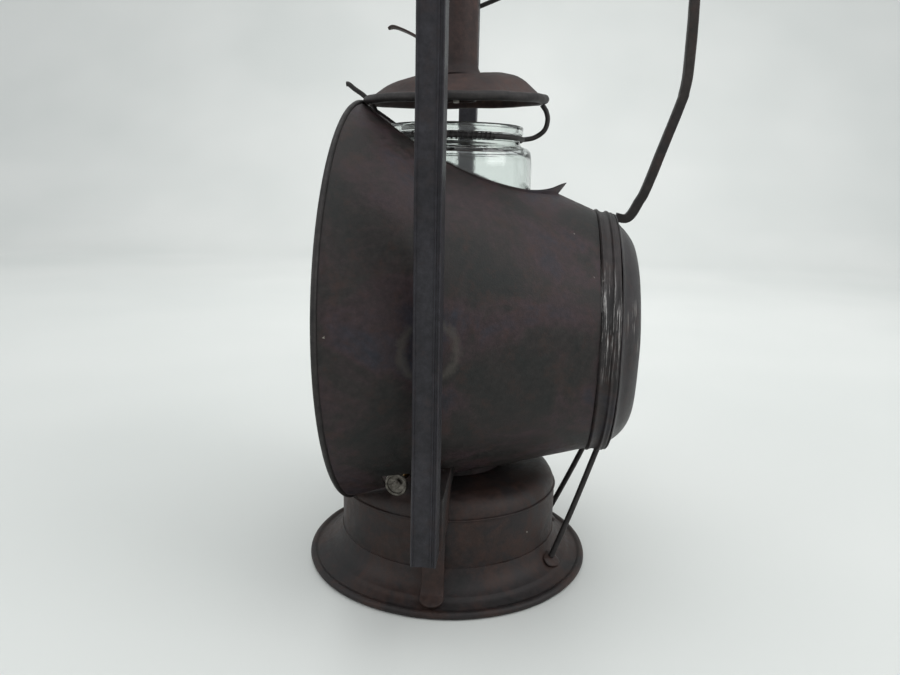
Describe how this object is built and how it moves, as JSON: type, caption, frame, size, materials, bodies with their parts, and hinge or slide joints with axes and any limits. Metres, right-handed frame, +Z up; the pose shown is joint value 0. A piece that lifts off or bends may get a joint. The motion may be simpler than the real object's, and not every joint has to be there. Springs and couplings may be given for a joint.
{
  "type": "railway inspector lantern",
  "caption": "Hooded railway inspector's oil lantern: clear globe under a sliding bell, side air tubes, crown, rear handle, swinging bail and wick winder.",
  "frame": {"origin": "centre of the round foot, on the floor it stands on", "axes": "+Z up; -X is the way the hood opens, +X towards the reflector and rear handle; +Y towards the far air tube"},
  "size_m": [0.1903, 0.2162, 0.3717],
  "materials": {
    "japanned_tin": "aged black-brown japan on tinned sheet, dull satin",
    "tube_tin": "worn dark grey japan on tinned sheet, satin",
    "rusty_tin": "red-brown rusted japan, dull",
    "steel_wire": "dark oxidised steel wire, satin",
    "bare_tinplate": "bare dulled tinplate and spring wire",
    "burner_brass": "tarnished burner brass",
    "silvered_reflector": "silvered sheet, slightly tarnished",
    "clear_glass": "clear blown glass",
    "cotton_wick": "woven flat cotton wick"
  },
  "bodies": {
    "lamp_frame": {"foot_flange": "japanned_tin", "fount_drum": "japanned_tin", "filler_collar": "japanned_tin", "hood_shell": "japanned_tin", "hood_mouth_wire": "steel_wire", "rear_band": "japanned_tin", "reflector_cap": "japanned_tin", "reflector": "silvered_reflector", "near_air_tube": "tube_tin", "far_air_tube": "tube_tin", "near_elbow_duct": "japanned_tin", "far_elbow_duct": "japanned_tin", "near_tube_strap": "japanned_tin", "far_tube_strap": "japanned_tin", "near_crown_elbow": "tube_tin", "far_crown_elbow": "tube_tin", "crown_chamber": "rusty_tin", "crown_cap": "rusty_tin", "chimney_tube": "bare_tinplate", "spring_rod": "bare_tinplate", "bell_spring": "bare_tinplate", "air_chamber": "japanned_tin", "globe_plate": "burner_brass", "burner_body": "burner_brass", "wick_tube": "burner_brass", "burner_cone": "burner_brass", "near_strut": "steel_wire", "far_strut": "steel_wire", "rear_handle": "steel_wire", "near_bail_ear": "tube_tin", "far_bail_ear": "tube_tin"},
    "bell_and_globe": {"bell": "rusty_tin", "bell_neck": "rusty_tin", "thumb_tab": "rusty_tin", "spring_bar": "bare_tinplate", "guard_wire_near": "steel_wire", "guard_wire_far": "steel_wire", "guard_spring": "bare_tinplate", "globe": "clear_glass"},
    "winder": {"winder_shaft": "burner_brass", "spur_wheel": "burner_brass", "winder_wheel": "bare_tinplate"},
    "wick_ribbon": {"wick": "cotton_wick"},
    "carrying_bail": {"bail": "steel_wire"},
    "filler_screw_cap": {"filler_cap": "burner_brass"}
  },
  "joints": [
    {"name": "bell_lift", "type": "slide", "parent": "lamp_frame", "child": "bell_and_globe", "axis": [0, 0, 1], "range_m": [0, 0.02], "stiffness_N_per_m": 120, "springref_m": -0.015, "deforming": ["bell_spring"]},
    {"name": "winder_turn", "type": "hinge", "parent": "lamp_frame", "child": "winder", "pos_m": [-0.00485, 0.0012, 0.0596], "axis": [-0.2399, -0.9708, 0], "range_deg": [-66, 132]},
    {"name": "wick_travel", "type": "slide", "parent": "lamp_frame", "child": "wick_ribbon", "axis": [0, 0, 1], "range_m": [-0.004, 0.008]},
    {"name": "bail_swing", "type": "hinge", "parent": "lamp_frame", "child": "carrying_bail", "pos_m": [-0.0009, 0, 0.306], "axis": [0, -1, 0], "range_deg": [0, 160]},
    {"name": "filler_cap_turn", "type": "hinge", "parent": "lamp_frame", "child": "filler_screw_cap", "pos_m": [0.02722, 0.04714, 0.04963], "axis": [0.3536, 0.6124, 0.7071], "continuous": true}
  ],
  "couplings": [
    {"joint": "winder_turn", "follows": "wick_travel", "rad_per_m": 285.71}
  ]
}
